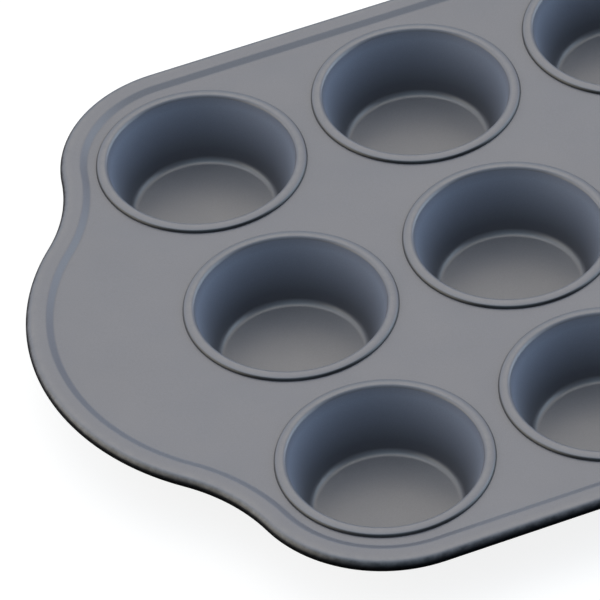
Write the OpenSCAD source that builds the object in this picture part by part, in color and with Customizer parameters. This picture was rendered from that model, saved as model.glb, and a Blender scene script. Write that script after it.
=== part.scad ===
// Muffin tin: a flat sheet with a stepped flange and a wired edge, and drawn cups seamed into its holes.
// Millimetres, +Z up. The origin is the centre of the footprint, on the surface that the cups stand on.
// The long sides run along X. Columns of cups are counted along X, and rows along Y.

/* [Cups] */
// number of cups along the length
cup_columns = 4; // [2:1:5]
// number of cups across the width
cup_rows = 3; // [1:1:3]
// distance between neighbouring cup centres, both ways
cup_pitch = 87.8; // [85:0.1:89]
// diameter of the ring round each cup, over its outer edge
ring_d = 79.8; // [76:0.1:81]
// height of the ring's crest above the sheet
ring_rise = 1.6; // [1.6:0.1:2]
// how far the ring's domed top slopes where it meets the shoulder, in degrees
ring_dome_slope = 20; // [15:1:22]
// radius of the shoulder, where the ring turns down on to the sheet
ring_shoulder_r = 1.2; // [1:0.1:1.2]
// radius of the bend from the ring's crest down into the cup
mouth_bend_r = 1.7; // [1.2:0.1:2.4]
// depth of a cup, from the top of the sheet to the floor inside
cup_depth = 25; // [20:0.5:32]
// diameter of the flat part of a cup's floor
floor_d = 51.4; // [44:0.1:54]
// radius of the bend from the floor up into the wall
floor_bend_r = 3; // [1:0.1:4]
// thickness of the cup metal
cup_gauge = 0.6; // [0.4:0.05:0.65]

/* [Sheet] */
// thickness of the tray sheet
sheet_gauge = 0.8; // [0.6:0.1:1]
// half width of the tin, from its centre line to the middle of the rolled edge
half_width = 139.5; // [139.5:0.1:145]
// radius of the four corners, at the middle of the rolled edge
corner_r = 50.6; // [48:0.1:52]
// how far the corner arcs' centres stand inside the end columns of cups
corner_inset = 0.3; // [0:0.1:1]
// radius of the hollow flanks between a corner and an end handle
flank_r = 73.4; // [60:0.1:85]
// radius of the end handles, at the middle of the rolled edge
handle_r = 93.8; // [91:0.1:96]
// how far the middle of the rolled edge reaches beyond the end columns of cups
handle_reach = 95; // [93:0.5:97]
// height of the flange above the sheet
flange_rise = 1.6; // [1.4:0.1:2]
// level width of the flange, from the step to the middle of the rolled edge
flange_w = 4.2; // [3.8:0.1:4.5]
// slope of the step between the sheet and the flange, in degrees
step_slope = 30; // [28:1:40]
// radius of the two bends of the step
step_bend_r = 2.2; // [1.5:0.1:2.4]

/* [Rolled edge] */
// outside radius of the rolled edge
roll_r = 2.75; // [2.5:0.05:3]
// how far the sheet wraps round the wire, in degrees
roll_wrap = 235; // [200:5:240]
// play between the wire and the sheet rolled round it
wire_play = 0.06; // [0.05:0.01:0.1]

/* [Hidden] */
$fn = 96;

coating = [0.53, 0.54, 0.57];
bare_steel = [0.66, 0.66, 0.67];

// largest turn between two neighbouring points of a bend in section, in degrees
bend_step = 10;

// heights, from the surface that the cups stand on
floor_top = cup_gauge;
sheet_top = cup_depth + cup_gauge;
sheet_base = sheet_top - sheet_gauge;
crest_z = sheet_top + ring_rise;
flange_top = sheet_top + flange_rise;

// ring seam: the cup's edge turns down on to the sheet, over an upturned collar at the hole's edge
seam_play = 0.05;
shoulder_c = [ring_d / 2 - ring_shoulder_r, sheet_top + 2 * seam_play];
// radius of the ring's dome, which is level at the crest and has the given slope where it meets the shoulder
ring_dome_r = (crest_z - shoulder_c[1] - ring_shoulder_r * cos(ring_dome_slope)) / (1 - cos(ring_dome_slope));
dome_c = shoulder_c - (ring_dome_r - ring_shoulder_r) * [sin(ring_dome_slope), cos(ring_dome_slope)];
mouth_c = [dome_c[0], crest_z - mouth_bend_r];
collar_r = shoulder_c[0];
collar_top = shoulder_c[1] + ring_shoulder_r - cup_gauge - 2 * seam_play;

// cup wall: the straight line that touches both the floor bend and the mouth bend
floor_c = [floor_d / 2, floor_top + floor_bend_r];
floor_to_mouth = mouth_c - floor_c;
both_bends_r = mouth_bend_r + floor_bend_r;
wall_tilt = atan2(floor_to_mouth[0], floor_to_mouth[1]) - asin(both_bends_r / norm(floor_to_mouth));

// step and roll, measured out from the middle of the rolled edge
step_flat_rise = flange_rise - 2 * step_bend_r * (1 - cos(step_slope));
step_w = 2 * step_bend_r * sin(step_slope) + step_flat_rise / tan(step_slope);
rim_w = flange_w + step_w;
step_foot_c = [-rim_w, sheet_top + step_bend_r];
step_head_c = [-flange_w, flange_top - step_bend_r];
roll_c = [0, flange_top - roll_r];
wire_r = roll_r - sheet_gauge - wire_play;

// outline, left far quarter: corner, hollow flank and handle arcs, each touching the next
corner_c = [corner_inset - (cup_columns - 1) / 2 * cup_pitch, half_width - corner_r];
handle_c = [handle_r - handle_reach - (cup_columns - 1) / 2 * cup_pitch, 0];
corner_to_flank = corner_r + flank_r;
handle_to_flank = handle_r + flank_r;
corner_to_handle = norm(handle_c - corner_c);
toward_handle = (handle_c - corner_c) / corner_to_handle;
flank_along = (corner_to_flank ^ 2 - handle_to_flank ^ 2 + corner_to_handle ^ 2) / (2 * corner_to_handle);
flank_aside = sqrt(corner_to_flank ^ 2 - flank_along ^ 2);
flank_c = corner_c + flank_along * toward_handle + flank_aside * [toward_handle[1], -toward_handle[0]];
corner_end = heading(corner_c, flank_c);
handle_end = heading(handle_c, flank_c);

// to be one solid, the corner and handle runs of the rim are this much thinner all round, and run on
// this far inside the runs next to them
run_inset = 0.01;
run_lap = 0.2;
// how far the flat of the sheet runs into the first bend of the rim, to be one with it
flat_lap = 0.6;

function cup_name(row, column) = str("cup_row", row, "_column", column);

function cup_centre(row, column) = cup_pitch * [column - (cup_columns + 1) / 2, row - (cup_rows + 1) / 2];

// direction from one point to another, 0 to 360 degrees
function heading(from, to) = (atan2(to[1] - from[1], to[0] - from[0]) + 360) % 360;

function arc(centre, r, from, to) =
  let (steps = ceil(abs(to - from) / bend_step))
  [for (i = [0 : steps]) let (a = from + (to - from) * i / steps) centre + r * [cos(a), sin(a)]];

function reversed(points) = [for (i = [len(points) - 1 : -1 : 0]) points[i]];

// line of the cup metal in section at a depth below its inner face, from the axis out to the ring's edge
function cup_line(depth) = concat(
  [[0, floor_top - depth]],
  arc(floor_c, floor_bend_r + depth, -90, -wall_tilt),
  arc(mouth_c, mouth_bend_r - depth, 180 - wall_tilt, 90),
  arc(dome_c, ring_dome_r - depth, 90, 90 - ring_dome_slope),
  arc(shoulder_c, ring_shoulder_r - depth, 90 - ring_dome_slope, 0),
  [[ring_d / 2 - depth, sheet_top + seam_play]]
);

// line of the rim metal in section at a depth below its top face, from the step's foot out round the roll
function rim_line(depth) = concat(
  arc(step_foot_c, step_bend_r + depth, -90, step_slope - 90),
  arc(step_head_c, step_bend_r - depth, 90 + step_slope, 90),
  arc(roll_c, roll_r - depth, 90, 90 - roll_wrap)
);

module cup(row, column) {
  color(coating)
    translate(cup_centre(row, column))
      rotate_extrude()
        polygon(concat(cup_line(0), reversed(cup_line(cup_gauge))));
}

module rim_section(inset = 0) {
  polygon(concat(rim_line(inset), reversed(rim_line(sheet_gauge - inset))));
}

module wire_section(inset = 0) {
  translate(roll_c)
    circle(wire_r - inset);
}

// one arc of the rim: a section turned about a centre, facing out of the arc or into it
module rim_arc(centre, r, from, to, inward = false, lap = 0) {
  over = lap / r * 180 / PI;
  translate(centre)
    rotate([0, 0, from - over])
      rotate_extrude(angle = to - from + 2 * over)
        translate([r, 0])
          mirror([inward ? 1 : 0, 0])
            children();
}

module both_ends() {
  for (x = [0, 1])
    mirror([x, 0, 0])
      children();
}

module both_sides() {
  for (y = [0, 1])
    mirror([0, y, 0])
      children();
}

// a section carried all the way round the outline: the first child is the section of the sides and
// flanks, the second that of the corners and handles between them
module round_the_rim() {
  both_sides()
    translate([corner_c[0], half_width, 0])
      rotate([90, 0, 90])
        linear_extrude(-2 * corner_c[0])
          children(0);
  both_ends()
    rim_arc(handle_c, handle_r, handle_end, 360 - handle_end, lap = run_lap)
      children(1);
  both_ends()
    both_sides() {
      rim_arc(corner_c, corner_r, 90, corner_end, lap = run_lap)
        children(1);
      rim_arc(flank_c, flank_r, handle_end - 180, corner_end - 180, inward = true)
        children(0);
    }
}

module each_cup() {
  for (row = [1 : cup_rows], column = [1 : cup_columns])
    translate(cup_centre(row, column))
      children();
}

// the flat of the sheet, inside the step
module flat_outline() {
  inset = rim_w - flat_lap;
  square([-2 * corner_c[0], 2 * (half_width - inset)], center = true);
  both_ends()
    translate(handle_c)
      circle(handle_r - inset);
  both_ends()
    both_sides() {
      translate(corner_c)
        circle(corner_r - inset);
      difference() {
        polygon([corner_c, flank_c, handle_c, [0, 0]]);
        translate(flank_c)
          circle(flank_r + inset);
      }
    }
}

// the sheet's upturned collar round a hole, which the cup's ring folds over
module collar() {
  rotate_extrude()
    translate([collar_r - sheet_gauge, sheet_base])
      square([sheet_gauge, collar_top - sheet_base]);
}

module tray_sheet() {
  color(coating) {
    translate([0, 0, sheet_base])
      linear_extrude(sheet_gauge)
        difference() {
          flat_outline();
          each_cup()
            circle(collar_r - sheet_gauge / 2);
        }
    each_cup()
      collar();
    round_the_rim() {
      rim_section();
      rim_section(run_inset);
    }
  }
}

module rim_wire() {
  color(bare_steel)
    round_the_rim() {
      wire_section();
      wire_section(run_inset);
    }
}

tray_sheet();
rim_wire();
for (row = [1 : cup_rows], column = [1 : cup_columns])
  cup(row, column);
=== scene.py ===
import math

import bmesh
import bpy
import numpy as np
from mathutils import Matrix, Vector
from mathutils.geometry import delaunay_2d_cdt


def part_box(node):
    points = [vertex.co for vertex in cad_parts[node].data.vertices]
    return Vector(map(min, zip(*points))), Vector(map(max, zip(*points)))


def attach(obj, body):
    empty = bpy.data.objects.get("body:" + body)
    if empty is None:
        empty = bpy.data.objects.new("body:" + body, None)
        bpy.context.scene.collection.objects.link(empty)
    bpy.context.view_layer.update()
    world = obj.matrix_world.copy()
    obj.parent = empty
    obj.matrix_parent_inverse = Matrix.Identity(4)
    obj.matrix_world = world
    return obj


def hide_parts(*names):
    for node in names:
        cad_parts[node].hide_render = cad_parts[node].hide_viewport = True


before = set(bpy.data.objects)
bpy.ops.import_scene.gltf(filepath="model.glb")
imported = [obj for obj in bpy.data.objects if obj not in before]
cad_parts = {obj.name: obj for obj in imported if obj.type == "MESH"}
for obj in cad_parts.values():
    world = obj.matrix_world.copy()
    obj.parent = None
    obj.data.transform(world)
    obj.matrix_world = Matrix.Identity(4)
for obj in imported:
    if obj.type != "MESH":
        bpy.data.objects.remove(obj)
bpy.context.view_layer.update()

# ---------------------------------------------------------------- sizes as in the CAD: millimetres, degrees
MM = 0.001  # metres

CUP_COLUMNS = 4
CUP_GAUGE = 0.6
CUP_PITCH = 87.8
RING_D = 79.8
RING_RISE = 1.6
RING_DOME_SLOPE = 20.0
RING_SHOULDER_R = 1.2
MOUTH_BEND_R = 1.7
FLOOR_D = 51.4
FLOOR_BEND_R = 3.0
SEAM_PLAY = 0.05

SHEET_GAUGE = 0.8
SHEET_TOP = 25.6
SHEET_BASE = SHEET_TOP - SHEET_GAUGE
HALF_WIDTH = 139.5
CORNER_R = 50.6
CORNER_INSET = 0.3
FLANK_R = 73.4
HANDLE_R = 93.8
HANDLE_REACH = 94.99  # the CAD's 95, less the 0.01 by which its handle runs are thinner all round

FLANGE_RISE = 1.6
FLANGE_W = 4.2
STEP_SLOPE = 30.0
STEP_BEND_R = 2.2
ROLL_R = 2.75
ROLL_WRAP = 235.0
WIRE_PLAY = 0.06

# heights, radii and centres that follow from them
CREST_Z = SHEET_TOP + RING_RISE
FLANGE_TOP = SHEET_TOP + FLANGE_RISE
DOME_SIN = math.sin(math.radians(RING_DOME_SLOPE))
DOME_COS = math.cos(math.radians(RING_DOME_SLOPE))
SHOULDER_C = (RING_D / 2 - RING_SHOULDER_R, SHEET_TOP + 2 * SEAM_PLAY)
DOME_R = (CREST_Z - SHOULDER_C[1] - RING_SHOULDER_R * DOME_COS) / (1 - DOME_COS)
DOME_C = (SHOULDER_C[0] - (DOME_R - RING_SHOULDER_R) * DOME_SIN, CREST_Z - DOME_R)
MOUTH_C = (DOME_C[0], CREST_Z - MOUTH_BEND_R)
FLOOR_C = (FLOOR_D / 2, CUP_GAUGE + FLOOR_BEND_R)
COLLAR_R = SHOULDER_C[0]
COLLAR_TOP = SHOULDER_C[1] + RING_SHOULDER_R - CUP_GAUGE - 2 * SEAM_PLAY
WIRE_R = ROLL_R - SHEET_GAUGE - WIRE_PLAY

# from the middle of the tin to the axes of an end column of cups
HALF_CUPS = (CUP_COLUMNS - 1) / 2 * CUP_PITCH

# the visual model's own fineness
SECTION_STEP = 6.0  # degrees between neighbouring points of a bend in section
WIRE_STEP = 12.0  # the same round the hidden wire
COLLAR_STEP = 15.0  # the same on the bend up into a collar
CUP_SEGMENTS = 168  # facets round a cup
FLOOR_RINGS = 5  # rings of points between the middle of a cup's floor and its bend
WALL_RINGS = 7  # rings of points on a cup's straight wall
FLANGE_LINES = 1  # lines of points along the level of the flange
PLAN_STEP = 2.6  # millimetres between stations round the arcs of the outline
SIDE_STEP = 3.9  # the same along its straight sides
GRID_STEP = 5.5  # millimetres between points inside the flat of the sheet
EDGE_GAP = 0.6  # how clear of the step those points stay, as a share of GRID_STEP
HOLE_GAP = 0.5  # how clear of the holes they stay, as a share of GRID_STEP
INSIDE_BORDERS = 1  # the triangulation's own code for triangles inside the borders given
PLAN_SNAP = 1e-6  # millimetres within which it takes two points as one
WELD = 1e-6  # metres within which neighbouring surfaces share their points
ON_AXIS = 1e-9  # millimetres from its axis within which a turned point is a single vertex
SHARP_ANGLE = 50.0  # degrees beyond which an edge is shaded sharp

# what the visual model adds to the shape
CROWN = 0.35  # millimetres that the flat of the sheet swells between the cups
CROWN_RUN = 13.0  # millimetres over which it rises
COLLAR_TURN_R = 0.9  # millimetres, the bend up into a collar, on the underside

# where the coating is rubbed
RUB_RUN = 2.0  # millimetres inward from the top of the roll over which it fades
RUB_DEPTH = 0.3  # millimetres down from a ring's crest over which it fades

# what multiplies the coating's colour: mostly painted shade and painted light
PLAIN = (1.0, 1.0, 1.0)  # wherever nothing else is said
CUP_FLOOR = (1.04, 1.03, 0.97)  # on a cup's floor
WALL_FOOT_PAINTED_SHADE = (0.38, 0.41, 0.44)  # painted shade darkening the foot of a cup's wall
WALL_HEAD_PAINTED_LIGHT = (1.92, 2.12, 2.30)  # painted light brightening the head of that wall
TURNED_EDGE_PAINTED_SHADE = (0.08, 0.08, 0.08)  # painted shade where an edge is turned down, by a ring's seam or round the roll
EDGE_SHADE_SLOPES = (20.0, 50.0)  # degrees of slope over which the painted shade goes from none to full
MOUTH_FADE = 0.6  # share of the mouth bend's radius over which the wall's painted light fades back to plain


# ---------------------------------------------------------------- curves in section and in plan
def bend(centre, radius, start, end, step=SECTION_STEP):
    """Points on an arc, angles in degrees."""
    count = max(2, math.ceil(abs(end - start) / step))
    angles = np.radians(np.linspace(start, end, count + 1))
    return [(centre[0] + radius * math.cos(a), centre[1] + radius * math.sin(a)) for a in angles]


def wall_tilt():
    """Angle from upright of the straight wall that touches the floor bend and the mouth bend."""
    run = MOUTH_C[0] - FLOOR_C[0]
    rise = MOUTH_C[1] - FLOOR_C[1]
    bends = MOUTH_BEND_R + FLOOR_BEND_R
    return math.degrees(math.atan2(run, rise) - math.asin(bends / math.hypot(run, rise)))


def between(first, last, count):
    """Points evenly between two points, without the two themselves."""
    return [
        tuple(first[k] + (last[k] - first[k]) * i / (count + 1) for k in (0, 1))
        for i in range(1, count + 1)
    ]


def cup_line(depth):
    """Line of the cup metal in section at a depth below its inner face, from the axis to the ring's edge."""
    tilt = wall_tilt()
    floor = CUP_GAUGE - depth
    floor_bend = bend(FLOOR_C, FLOOR_BEND_R + depth, -90, -tilt)
    mouth_bend = bend(MOUTH_C, MOUTH_BEND_R - depth, 180 - tilt, 90)
    dome = bend(DOME_C, DOME_R - depth, 90, 90 - RING_DOME_SLOPE)
    shoulder = bend(SHOULDER_C, RING_SHOULDER_R - depth, 90 - RING_DOME_SLOPE, 0)
    return (
        [(0, floor)]
        + between((0, floor), floor_bend[0], FLOOR_RINGS)
        + floor_bend
        + between(floor_bend[-1], mouth_bend[0], WALL_RINGS)
        + mouth_bend
        + dome
        + shoulder
        + [(RING_D / 2 - depth, SHEET_TOP + SEAM_PLAY)]
    )


def step_width():
    """Plan width of the step between the flat of the sheet and the flange."""
    slope = math.radians(STEP_SLOPE)
    straight_rise = FLANGE_RISE - 2 * STEP_BEND_R * (1 - math.cos(slope))
    return 2 * STEP_BEND_R * math.sin(slope) + straight_rise / math.tan(slope)


RIM_W = FLANGE_W + step_width()


def rim_line(depth):
    """Line of the rim metal in section at a depth below its top face, from the step out round the roll."""
    foot = (-RIM_W, SHEET_TOP + STEP_BEND_R)
    head = (-FLANGE_W, FLANGE_TOP - STEP_BEND_R)
    roll = (0, FLANGE_TOP - ROLL_R)
    head_bend = bend(head, STEP_BEND_R - depth, 90 + STEP_SLOPE, 90)
    roll_bend = bend(roll, ROLL_R - depth, 90, 90 - ROLL_WRAP)
    return (
        bend(foot, STEP_BEND_R + depth, -90, STEP_SLOPE - 90)
        + head_bend
        + between(head_bend[-1], roll_bend[0], FLANGE_LINES)
        + roll_bend
    )


def heading(start, end):
    """Direction from one point to another, 0 to 360 degrees."""
    return math.degrees(math.atan2(end[1] - start[1], end[0] - start[0])) % 360


def plan_centres():
    """Centres of the corner, flank and handle arcs of the left far quarter, each arc touching the next."""
    corner = np.array([CORNER_INSET - HALF_CUPS, HALF_WIDTH - CORNER_R])
    handle = np.array([HANDLE_R - HANDLE_REACH - HALF_CUPS, 0.0])
    to_corner = CORNER_R + FLANK_R
    to_handle = HANDLE_R + FLANK_R
    apart = np.linalg.norm(handle - corner)
    toward = (handle - corner) / apart
    along = (to_corner**2 - to_handle**2 + apart**2) / (2 * apart)
    aside = math.sqrt(to_corner**2 - along**2)
    flank = corner + along * toward + aside * np.array([toward[1], -toward[0]])
    return corner, flank, handle


def side_stations(half_length):
    """Plan points along the far side, from right to left but for the last, and their outward directions."""
    count = round(2 * half_length / SIDE_STEP)
    x = np.linspace(half_length, -half_length, count + 1)[:-1]
    return np.stack([x, np.full_like(x, HALF_WIDTH)], axis=1), np.tile([0.0, 1.0], (len(x), 1))


def arc_stations(centre, radius, start, end, outward=1):
    """Plan points along an arc but for the last, and their outward directions."""
    count = max(2, round(math.radians(abs(end - start)) * radius / PLAN_STEP))
    angles = np.radians(np.linspace(start, end, count + 1)[:-1])
    around = np.stack([np.cos(angles), np.sin(angles)], axis=1)
    return centre + radius * around, outward * around


def outline():
    """Stations round the middle of the rolled edge: plan points and outward directions, anticlockwise."""
    corner, flank, handle = plan_centres()
    corner_end = heading(corner, flank)
    handle_end = heading(handle, flank)
    arcs = [
        arc_stations(corner, CORNER_R, 90, corner_end),
        arc_stations(flank, FLANK_R, corner_end - 180, handle_end - 180, outward=-1),
        arc_stations(handle, HANDLE_R, handle_end, 180),
    ]
    quarter = [np.concatenate(both) for both in zip(*arcs)]
    side = side_stations(-corner[0])
    tip = ([[-HANDLE_REACH - HALF_CUPS, 0.0]], [[-1.0, 0.0]])
    flip = np.array([1.0, -1.0])
    whole = []
    for on_side, on_quarter, at_tip in zip(side, quarter, tip):
        left = np.concatenate([on_side, on_quarter, at_tip, (on_quarter * flip)[::-1]])
        # the left half's last station begins the near side, so it is dropped and comes back by symmetry
        whole.append(np.concatenate([left[:-1], -left[:-1]]))
    return whole


# ---------------------------------------------------------------- meshes
def make_piece(name, vertices, faces, material, wear, tone):
    """A new object from points in millimetres, with how rubbed each is and what multiplies its colour, which
    carries painted shade and light.
    """
    mesh = bpy.data.meshes.new(name)
    mesh.from_pydata([tuple(MM * c for c in v) for v in vertices], [], faces)
    mesh.attributes.new("wear", "FLOAT", "POINT").data.foreach_set("value", wear)
    mesh.attributes.new("tone", "FLOAT_VECTOR", "POINT").data.foreach_set("vector", np.ravel(tone))
    mesh.materials.append(material)
    piece = bpy.data.objects.new(name, mesh)
    bpy.context.scene.collection.objects.link(piece)
    return piece


def finish_mesh(piece):
    """Weld a piece's runs together, face everything outward and shade it smooth but for its sharp edges."""
    work = bmesh.new()
    work.from_mesh(piece.data)
    bmesh.ops.remove_doubles(work, verts=work.verts, dist=WELD)
    bmesh.ops.recalc_face_normals(work, faces=work.faces)
    limit = math.radians(SHARP_ANGLE)
    for face in work.faces:
        face.smooth = True
    for edge in work.edges:
        edge.smooth = len(edge.link_faces) == 2 and edge.calc_face_angle(0.0) < limit
    work.to_mesh(piece.data)
    work.free()


def sweep(section, stations, outward):
    """A closed section carried round a closed outline: x is outward from the station, y is up."""
    rings = len(stations)
    size = len(section)
    vertices = [
        (p[0] + n[0] * x, p[1] + n[1] * x, z)
        for p, n in zip(stations, outward)
        for x, z in section
    ]
    faces = [
        (
            ring * size + k,
            (ring + 1) % rings * size + k,
            (ring + 1) % rings * size + (k + 1) % size,
            ring * size + (k + 1) % size,
        )
        for ring in range(rings)
        for k in range(size)
    ]
    return vertices, faces


def revolve(section, centre, segments=CUP_SEGMENTS):
    """A section turned about an upright axis; points on the axis become one vertex each."""
    vertices, faces, rows = [], [], []
    turns = np.radians(np.arange(segments) * 360 / segments)
    for radius, z in section:
        if radius <= ON_AXIS:
            rows.append([len(vertices)] * segments)
            vertices.append((centre[0], centre[1], z))
            continue
        rows.append(list(range(len(vertices), len(vertices) + segments)))
        vertices += [(centre[0] + radius * math.cos(a), centre[1] + radius * math.sin(a), z) for a in turns]
    for lower, upper in zip(rows, rows[1:]):
        for k in range(segments):
            corners = [lower[k], lower[(k + 1) % segments], upper[(k + 1) % segments], upper[k]]
            faces.append(tuple(dict.fromkeys(corners)))
    return vertices, [f for f in faces if len(f) > 2]


def circle(centre, radius, segments=CUP_SEGMENTS):
    turns = np.radians(np.arange(segments) * 360 / segments)
    return np.stack([centre[0] + radius * np.cos(turns), centre[1] + radius * np.sin(turns)], axis=1)


def inside_loop(points, loop):
    """Which points lie inside a closed loop: those with an odd number of its sides to their right."""
    x, y = points[:, 0][:, None], points[:, 1][:, None]
    a, b = loop, np.roll(loop, -1, axis=0)
    crosses = (a[:, 1] > y) != (b[:, 1] > y)
    rise = np.where(b[:, 1] == a[:, 1], 1.0, b[:, 1] - a[:, 1])
    at = a[:, 0] + (y - a[:, 1]) * (b[:, 0] - a[:, 0]) / rise
    return (crosses & (x < at)).sum(axis=1) % 2 == 1


def nearest(points, others):
    """How far each point is from the nearest of some others."""
    return np.linalg.norm(points[:, None] - others[None], axis=2).min(axis=1)


def ease(t):
    """From 0 to 1 as t goes from 0 to 1, level at both ends."""
    t = np.clip(t, 0, 1)
    return t * t * (3 - 2 * t)


def loose_points(edge, centres, hole_r):
    """A triangular grid of points on the flat of the sheet, clear of its edge and its holes."""
    reach = np.abs(edge).max(axis=0)
    columns = np.arange(-reach[0], reach[0], GRID_STEP)
    rows = np.arange(-reach[1], reach[1], GRID_STEP * math.sqrt(3) / 2)
    shift = GRID_STEP / 2
    grid = np.array([(x + shift * (j % 2), y) for j, y in enumerate(rows) for x in columns])
    clear_of_edge = nearest(grid, edge) > GRID_STEP * EDGE_GAP
    clear_of_holes = nearest(grid, centres) > hole_r + GRID_STEP * HOLE_GAP
    return grid[inside_loop(grid, edge) & clear_of_edge & clear_of_holes]


def crown(plan, edge, centres):
    """How far the flat swells at each point: nothing at the step and at the rings, and most between them."""
    from_ring = nearest(plan, centres) - RING_D / 2
    return CROWN * ease(nearest(plan, edge) / CROWN_RUN) * ease(from_ring / CROWN_RUN)


def flat_of_sheet(edge, centres, hole_r, z):
    """The flat between the step and the holes, as small triangles, slightly crowned between the cups."""
    points, borders = [], []
    for loop in [edge] + [circle(c, hole_r) for c in centres]:
        first = len(points)
        count = len(loop)
        points += [Vector(p) for p in loop]
        borders += [(first + k, first + (k + 1) % count) for k in range(count)]
    points += [Vector(p) for p in loose_points(edge, centres, hole_r)]
    found, _, triangles, *_ = delaunay_2d_cdt(points, borders, [], INSIDE_BORDERS, PLAN_SNAP)
    plan = np.array([tuple(p) for p in found])
    middles = plan[np.array(triangles)].mean(axis=1)
    # the middle of a hole's facet is this far from the hole's axis
    facet_r = hole_r * math.cos(math.pi / CUP_SEGMENTS)
    wanted = inside_loop(middles, edge) & (nearest(middles, centres) > facet_r)
    vertices = [(p[0], p[1], z + lift) for p, lift in zip(plan, crown(plan, edge, centres))]
    return vertices, [tuple(t) for t, ok in zip(triangles, wanted) if ok]


def merged(parts):
    """Several lists of vertices and faces as one."""
    vertices, faces = [], []
    for some, theirs in parts:
        first = len(vertices)
        vertices += some
        faces += [tuple(first + k for k in face) for face in theirs]
    return vertices, faces


# ---------------------------------------------------------------- colour, painted shade and light, point by point
def blend(first, last, t):
    return tuple(a + (b - a) * float(t) for a, b in zip(first, last))


def edge_painted_shade(across, up):
    """Painted shade on a turned-down edge, darker as it slopes over, from where a point is about the bend's
    centre.
    """
    slope = math.degrees(math.atan2(across, up))
    return blend(PLAIN, TURNED_EDGE_PAINTED_SHADE, ease((slope - EDGE_SHADE_SLOPES[0]) / (EDGE_SHADE_SLOPES[1] - EDGE_SHADE_SLOPES[0])))


def cup_painted_shading(radius, z):
    """What multiplies the colour inside a cup: painted shade darkens its wall at the foot, painted light
    brightens it toward the mouth, and painted shade darkens its turned-down edge.
    """
    if radius <= FLOOR_C[0]:
        return CUP_FLOOR
    if radius > SHOULDER_C[0]:
        return edge_painted_shade(radius - SHOULDER_C[0], max(z - SHOULDER_C[1], 0.0))
    if z < FLOOR_C[1]:
        return blend(CUP_FLOOR, WALL_FOOT_PAINTED_SHADE, ease((z - CUP_GAUGE) / FLOOR_BEND_R))
    if z > MOUTH_C[1]:
        return blend(WALL_HEAD_PAINTED_LIGHT, PLAIN, ease((z - MOUTH_C[1]) / (MOUTH_FADE * MOUTH_BEND_R)))
    return blend(WALL_FOOT_PAINTED_SHADE, WALL_HEAD_PAINTED_LIGHT, (z - FLOOR_C[1]) / (MOUTH_C[1] - FLOOR_C[1]))


# ---------------------------------------------------------------- the pieces
def cup_centre(name):
    """A cup's axis in plan, in millimetres."""
    low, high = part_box(name)
    return np.array([(low[k] + high[k]) / 2 / MM for k in (0, 1)])


def collar_line():
    """Line of a collar in section: up its outer face, over its top, and down into the sheet's underside."""
    foot_r = COLLAR_R - SHEET_GAUGE
    turn_c = (foot_r + COLLAR_TURN_R, SHEET_BASE + COLLAR_TURN_R)
    outer_face = [(COLLAR_R, z) for z in (SHEET_TOP, (SHEET_TOP + COLLAR_TOP) / 2, COLLAR_TOP)]
    return outer_face + [(foot_r, COLLAR_TOP)] + bend(turn_c, COLLAR_TURN_R, 180, 270, COLLAR_STEP)


def tray_sheet(material, centres):
    """The sheet: its step, flange and roll, the two faces of its flat, and the collars round its holes."""
    stations, outward = outline()
    section = rim_line(0) + rim_line(SHEET_GAUGE)[::-1]
    rim_vertices, rim_faces = sweep(section, stations, outward)
    # the section's last side is the cut through the flat of the sheet, which isn't a face
    size = len(section)
    rim_faces = [f for k, f in enumerate(rim_faces) if k % size != size - 1]
    foot = stations - outward * RIM_W
    collar = collar_line()
    parts = [
        (rim_vertices, rim_faces),
        flat_of_sheet(foot, centres, COLLAR_R, SHEET_TOP),
        flat_of_sheet(foot, centres, collar[-1][0], SHEET_BASE),
    ]
    parts += [revolve(collar, c) for c in centres]
    vertices, faces = merged(parts)
    roll_z = FLANGE_TOP - ROLL_R
    rubbed = [float(ease((x + RUB_RUN) / RUB_RUN) * ease((z - roll_z) / ROLL_R)) for x, z in section]
    # painted shade where the roll turns down
    roll_painted_shade = [edge_painted_shade(x, z - roll_z) if x > 0 else PLAIN for x, z in section]
    others = len(vertices) - len(rim_vertices)
    wear = rubbed * len(stations) + [0.0] * others
    tone = roll_painted_shade * len(stations) + [PLAIN] * others
    return make_piece("tray_sheet_skin", vertices, faces, material, wear, tone)


def rim_wire(material):
    """The wire inside the roll, as one loop."""
    stations, outward = outline()
    section = bend((0, FLANGE_TOP - ROLL_R), WIRE_R, 0, 360, WIRE_STEP)[:-1]
    vertices, faces = sweep(section, stations, outward)
    count = len(vertices)
    return make_piece("rim_wire_loop", vertices, faces, material, [0.0] * count, [PLAIN] * count)


def cup(name, material):
    """One drawn cup with its ring and turned-down edge."""
    inside = cup_line(0)
    outside = cup_line(CUP_GAUGE)[::-1]
    vertices, faces = revolve(inside + outside, cup_centre(name))
    wear = [float(ease((z - CREST_Z + RUB_DEPTH) / RUB_DEPTH)) for _, _, z in vertices]
    # painted shade on the wall's foot and turned edge, painted light on its head, point by point
    tone = []
    for radius, z in inside:
        tone += [cup_painted_shading(radius, z)] * (CUP_SEGMENTS if radius > ON_AXIS else 1)
    tone += [PLAIN] * (len(vertices) - len(tone))
    return make_piece(name + "_shell", vertices, faces, material, wear, tone)


# ---------------------------------------------------------------- materials
COATING_DARK = (0.118, 0.121, 0.146, 1)
COATING_LIGHT = (0.132, 0.135, 0.162, 1)
COATING_RUBBED = (0.15, 0.15, 0.17, 1)
COATING_ROUGHNESS = (0.31, 0.38)
COATING_IOR = 1.8
COATING_BUMP = 0.00003  # metres
RUB_POLISH = -0.03  # what full rubbing adds to the roughness
FLECK = (0.94, 1.06)  # what multiplies the colour, from the darkest fleck to the palest
GRAIN_SHARE = 0.25  # how much of the bump's fine grain goes with its coarser peel

WIRE_DARK = (0.42, 0.41, 0.40, 1)
WIRE_LIGHT = (0.60, 0.59, 0.58, 1)
WIRE_ROUGHNESS = (0.28, 0.5)
WIRE_BUMP = 0.00005  # metres

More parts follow.
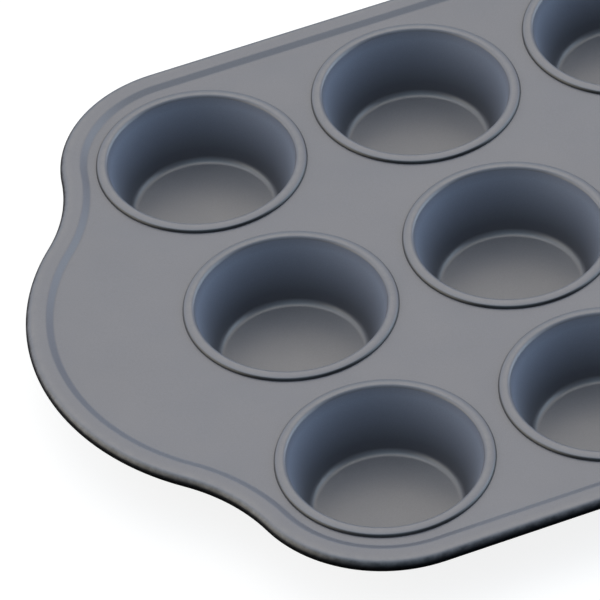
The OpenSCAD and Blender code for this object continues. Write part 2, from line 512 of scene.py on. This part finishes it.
FLOOR_COLOUR = (0.25, 0.25, 0.25, 1)
FLOOR_GLOW = 0.85  # the floor's own light, on top of what it reflects
FLOOR_HALF = 6.0  # metres from its middle to its sides

# scales of the noises: the larger, the finer
CLOUD_SCALE = 22.0
SMUDGE_SCALE = 60.0
WIRE_TONE_SCALE = 180.0
SCUFF_SCALE = 320.0
PEEL_SCALE = 700.0
WIRE_GRAIN_SCALE = 1500.0
SPECK_SCALE = 2600.0
GRAIN_SCALE = 3500.0
NOISE_SPAN = (0.3, 0.7)  # the middle part of a noise's values, which holds most of them


def new_material(name):
    material = bpy.data.materials.new(name)
    material.use_nodes = True
    nodes = material.node_tree.nodes
    shader = nodes["Principled BSDF"]
    return material, nodes, material.node_tree.links, shader


def noise(nodes, links, source, scale, detail=3.0, roughness=0.5):
    """A noise over the object, about 0 to 1."""
    node = nodes.new("ShaderNodeTexNoise")
    node.inputs["Scale"].default_value = scale
    node.inputs["Detail"].default_value = detail
    node.inputs["Roughness"].default_value = roughness
    links.new(source, node.inputs["Vector"])
    return node.outputs["Fac"]


def ramp(nodes, links, source, low, high):
    """A noise's values stretched over a range."""
    node = nodes.new("ShaderNodeMapRange")
    node.inputs["From Min"].default_value = NOISE_SPAN[0]
    node.inputs["From Max"].default_value = NOISE_SPAN[1]
    node.inputs["To Min"].default_value = low
    node.inputs["To Max"].default_value = high
    links.new(source, node.inputs["Value"])
    return node.outputs["Result"]


def mix_colour(nodes, links, factor, first, second, mode="MIX"):
    """Mix two colours; each is a colour or a socket, and so is the factor."""
    node = nodes.new("ShaderNodeMix")
    node.data_type = "RGBA"
    node.blend_type = mode
    for socket, value in (("Factor", factor), ("A", first), ("B", second)):
        target = next(s for s in node.inputs if s.name == socket and s.enabled)
        if isinstance(value, bpy.types.NodeSocket):
            links.new(value, target)
        else:
            target.default_value = value
    return next(s for s in node.outputs if s.enabled)


def arithmetic(nodes, links, operation, *values):
    node = nodes.new("ShaderNodeMath")
    node.operation = operation
    for target, value in zip(node.inputs, values):
        if isinstance(value, bpy.types.NodeSocket):
            links.new(value, target)
        else:
            target.default_value = value
    return node.outputs["Value"]


def add_bump(nodes, links, shader, height, strength, distance):
    node = nodes.new("ShaderNodeBump")
    node.inputs["Strength"].default_value = strength
    node.inputs["Distance"].default_value = distance
    links.new(height, node.inputs["Height"])
    links.new(node.outputs["Normal"], shader.inputs["Normal"])


def point_value(nodes, name):
    """The node that reads one of the values given to each point by make_piece."""
    node = nodes.new("ShaderNodeAttribute")
    node.attribute_name = name
    return node


def coating_material():
    """Satin non-stick coating: cloudy tone, fine fleck, painted shade and light from each point's tone,
    orange peel, and a faint rub where it is handled.
    """
    material, nodes, links, shader = new_material("nonstick_coating")
    where = nodes.new("ShaderNodeTexCoord").outputs["Object"]
    scuff = noise(nodes, links, where, SCUFF_SCALE, detail=4.0, roughness=0.65)
    scuffed = ramp(nodes, links, scuff, 0.0, 1.0)
    wear = arithmetic(nodes, links, "MULTIPLY", point_value(nodes, "wear").outputs["Fac"], scuffed)

    cloud = noise(nodes, links, where, CLOUD_SCALE)
    clouded = mix_colour(nodes, links, cloud, COATING_DARK, COATING_LIGHT)
    speck = noise(nodes, links, where, SPECK_SCALE, detail=1.0)
    flecked = mix_colour(nodes, links, 1.0, clouded, ramp(nodes, links, speck, *FLECK), "MULTIPLY")
    # each point's tone: painted shade and painted light
    tone = point_value(nodes, "tone").outputs["Color"]
    toned = mix_colour(nodes, links, 1.0, flecked, tone, "MULTIPLY")
    colour = mix_colour(nodes, links, wear, toned, COATING_RUBBED)
    links.new(colour, shader.inputs["Base Color"])

    smudge = noise(nodes, links, where, SMUDGE_SCALE, detail=4.0)
    satin = ramp(nodes, links, smudge, *COATING_ROUGHNESS)
    polished = arithmetic(nodes, links, "MULTIPLY_ADD", wear, RUB_POLISH, satin)
    links.new(polished, shader.inputs["Roughness"])
    shader.inputs["IOR"].default_value = COATING_IOR

    peel = noise(nodes, links, where, PEEL_SCALE, detail=2.0)
    grain = noise(nodes, links, where, GRAIN_SCALE, detail=2.0)
    height = arithmetic(nodes, links, "MULTIPLY_ADD", grain, GRAIN_SHARE, peel)
    add_bump(nodes, links, shader, height, strength=0.35, distance=COATING_BUMP)
    return material


def wire_material():
    """Drawn steel wire: uneven tone and shine."""
    material, nodes, links, shader = new_material("wire_steel")
    where = nodes.new("ShaderNodeTexCoord").outputs["Object"]
    tone = noise(nodes, links, where, WIRE_TONE_SCALE, detail=4.0)
    colour = mix_colour(nodes, links, tone, WIRE_DARK, WIRE_LIGHT)
    links.new(colour, shader.inputs["Base Color"])
    links.new(ramp(nodes, links, tone, *WIRE_ROUGHNESS), shader.inputs["Roughness"])
    shader.inputs["Metallic"].default_value = 1.0
    height = noise(nodes, links, where, WIRE_GRAIN_SCALE)
    add_bump(nodes, links, shader, height, strength=0.4, distance=WIRE_BUMP)
    return material


def floor_material():
    """Plain pale floor, without shine and partly lit from within."""
    material, _, _, shader = new_material("floor")
    shader.inputs["Base Color"].default_value = FLOOR_COLOUR
    shader.inputs["Roughness"].default_value = 0.9
    shader.inputs["Specular IOR Level"].default_value = 0.0
    shader.inputs["Emission Color"].default_value = (1, 1, 1, 1)
    shader.inputs["Emission Strength"].default_value = FLOOR_GLOW
    return material


# ---------------------------------------------------------------- studio and camera
VIEW_AZIMUTH = -19.81  # degrees from the near side, below zero toward the left end
VIEW_ELEVATION = 43.22  # degrees above level
VIEW_ROLL = -4.08  # degrees about the line of sight
VIEW_DISTANCE = 2317.9  # millimetres
VIEW_LENS = 378.9  # millimetres
VIEW_SENSOR = 36.0  # millimetres
VIEW_TARGET = (3.94, 0.81, 26.3)  # millimetres from the foot of the axis of the first column's middle cup

# the studio's soft lights, far off all round the tin: bearing in degrees anticlockwise from straight behind
# the tin as the camera sees it, height in degrees above level, how many degrees it spreads, and its colour
GLOWS = {
    "back_high": (0, 62, 45, (1.65, 1.50, 1.32)),
    "top": (0, 88, 45, (0.30, 0.40, 0.50)),
    "back_low": (0, 14, 40, (0.35, 0.45, 0.50)),
    "left_back": (50, 15, 40, (0.90, 0.95, 1.05)),
    "left": (95, 20, 45, (1.55, 1.45, 1.25)),
    "left_high": (80, 55, 40, (0.35, 0.45, 0.55)),
    "front": (180, 12, 40, (0.10, 0.15, 0.20)),
    "front_high": (180, 55, 40, (0.20, 0.28, 0.35)),
    "right": (284, 20, 42, (1.80, 2.20, 2.60)),
    "right_back": (320, 14, 40, (0.20, 0.15, 0.15)),
}
HORIZON_FADE = 0.06  # sine of the height either side of level over which they fade to the dark below it


def view_axes():
    """The camera's right, up and forward directions."""
    azimuth, elevation, roll = (math.radians(a) for a in (VIEW_AZIMUTH, VIEW_ELEVATION, VIEW_ROLL))
    level = math.cos(elevation)
    forward = Vector((-math.sin(azimuth) * level, math.cos(azimuth) * level, -math.sin(elevation)))
    across = forward.cross(Vector((0, 0, 1))).normalized()
    upright = across.cross(forward)
    right = math.cos(roll) * across + math.sin(roll) * upright
    up = -math.sin(roll) * across + math.cos(roll) * upright
    return right, up, forward


def add_camera():
    right, up, forward = view_axes()
    foot = cup_centre("cup_row2_column1")
    target = Vector((foot[0] + VIEW_TARGET[0], foot[1] + VIEW_TARGET[1], VIEW_TARGET[2])) * MM
    data = bpy.data.cameras.new("camera")
    data.lens = VIEW_LENS
    data.sensor_width = VIEW_SENSOR
    camera = bpy.data.objects.new("camera", data)
    place = Matrix((right, up, -forward)).transposed().to_4x4()
    place.translation = target - forward * VIEW_DISTANCE * MM
    camera.matrix_world = place
    bpy.context.scene.collection.objects.link(camera)
    bpy.context.scene.camera = camera


def glow_axis(bearing, height):
    """Direction of a soft light, from its bearing about the camera's own and its height."""
    turn = math.radians(VIEW_AZIMUTH + bearing)
    rise = math.radians(height)
    return (-math.sin(turn) * math.cos(rise), math.cos(turn) * math.cos(rise), math.sin(rise))


def vector_node(nodes, links, operation, *values):
    """A vector maths node, from its inputs' names or numbers and what goes into each."""
    node = nodes.new("ShaderNodeVectorMath")
    node.operation = operation
    for name, value in values:
        target = node.inputs[name]
        if isinstance(value, bpy.types.NodeSocket):
            links.new(value, target)
        else:
            target.default_value = value
    return node


def smooth_step(nodes, links, value, low, high):
    """From 0 to 1, smoothly, as a value goes from low to high."""
    node = nodes.new("ShaderNodeMapRange")
    node.interpolation_type = "SMOOTHSTEP"
    node.inputs["From Min"].default_value = low
    node.inputs["From Max"].default_value = high
    links.new(value, node.inputs["Value"])
    return node.outputs["Result"]


def add_world():
    """The soft lights, as smooth glows in the world round the tin, over dark below the horizon."""
    world = bpy.data.worlds.new("studio")
    bpy.context.scene.world = world
    world.use_nodes = True
    nodes, links = world.node_tree.nodes, world.node_tree.links
    where = nodes.new("ShaderNodeTexCoord").outputs["Generated"]
    total = (0, 0, 0)
    for name, (bearing, height, spread, colour) in GLOWS.items():
        toward = vector_node(nodes, links, "DOT_PRODUCT", (0, where), (1, glow_axis(bearing, height)))
        share = smooth_step(nodes, links, toward.outputs["Value"], math.cos(math.radians(spread)), 1)
        glow = vector_node(nodes, links, "SCALE", (0, colour), ("Scale", share))
        glow.name = name
        added = vector_node(nodes, links, "ADD", (0, total), (1, glow.outputs["Vector"]))
        total = added.outputs["Vector"]
    split = nodes.new("ShaderNodeSeparateXYZ")
    links.new(where, split.inputs["Vector"])
    above = smooth_step(nodes, links, split.outputs["Z"], -HORIZON_FADE, HORIZON_FADE)
    sky = vector_node(nodes, links, "SCALE", (0, total), ("Scale", above))
    links.new(sky.outputs["Vector"], nodes["Background"].inputs["Color"])


def add_floor(material):
    """A floor that takes the tin's shadow, and neither tints the tin nor shows in its shine."""
    far = FLOOR_HALF
    mesh = bpy.data.meshes.new("floor")
    corners = [(-far, -far, 0), (far, -far, 0), (far, far, 0), (-far, far, 0)]
    mesh.from_pydata(corners, [], [(0, 1, 2, 3)])
    mesh.materials.append(material)
    floor = bpy.data.objects.new("floor", mesh)
    bpy.context.scene.collection.objects.link(floor)
    floor.visible_glossy = False
    floor.visible_diffuse = False


# ---------------------------------------------------------------- the scene
coating = coating_material()
steel = wire_material()
cup_names = sorted(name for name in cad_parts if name.startswith("cup_"))
cup_centres = np.array([cup_centre(name) for name in cup_names])

pieces = [("tray_sheet", tray_sheet(coating, cup_centres), "nonstick_coating")]
pieces.append(("rim_wire", rim_wire(steel), "wire_steel"))
pieces += [(name, cup(name, coating), "nonstick_coating") for name in cup_names]
for node, piece, slot in pieces:
    finish_mesh(piece)
    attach(piece, "root")
    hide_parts(node)

add_floor(floor_material())
add_world()
add_camera()
bpy.context.scene.view_settings.view_transform = "Standard"
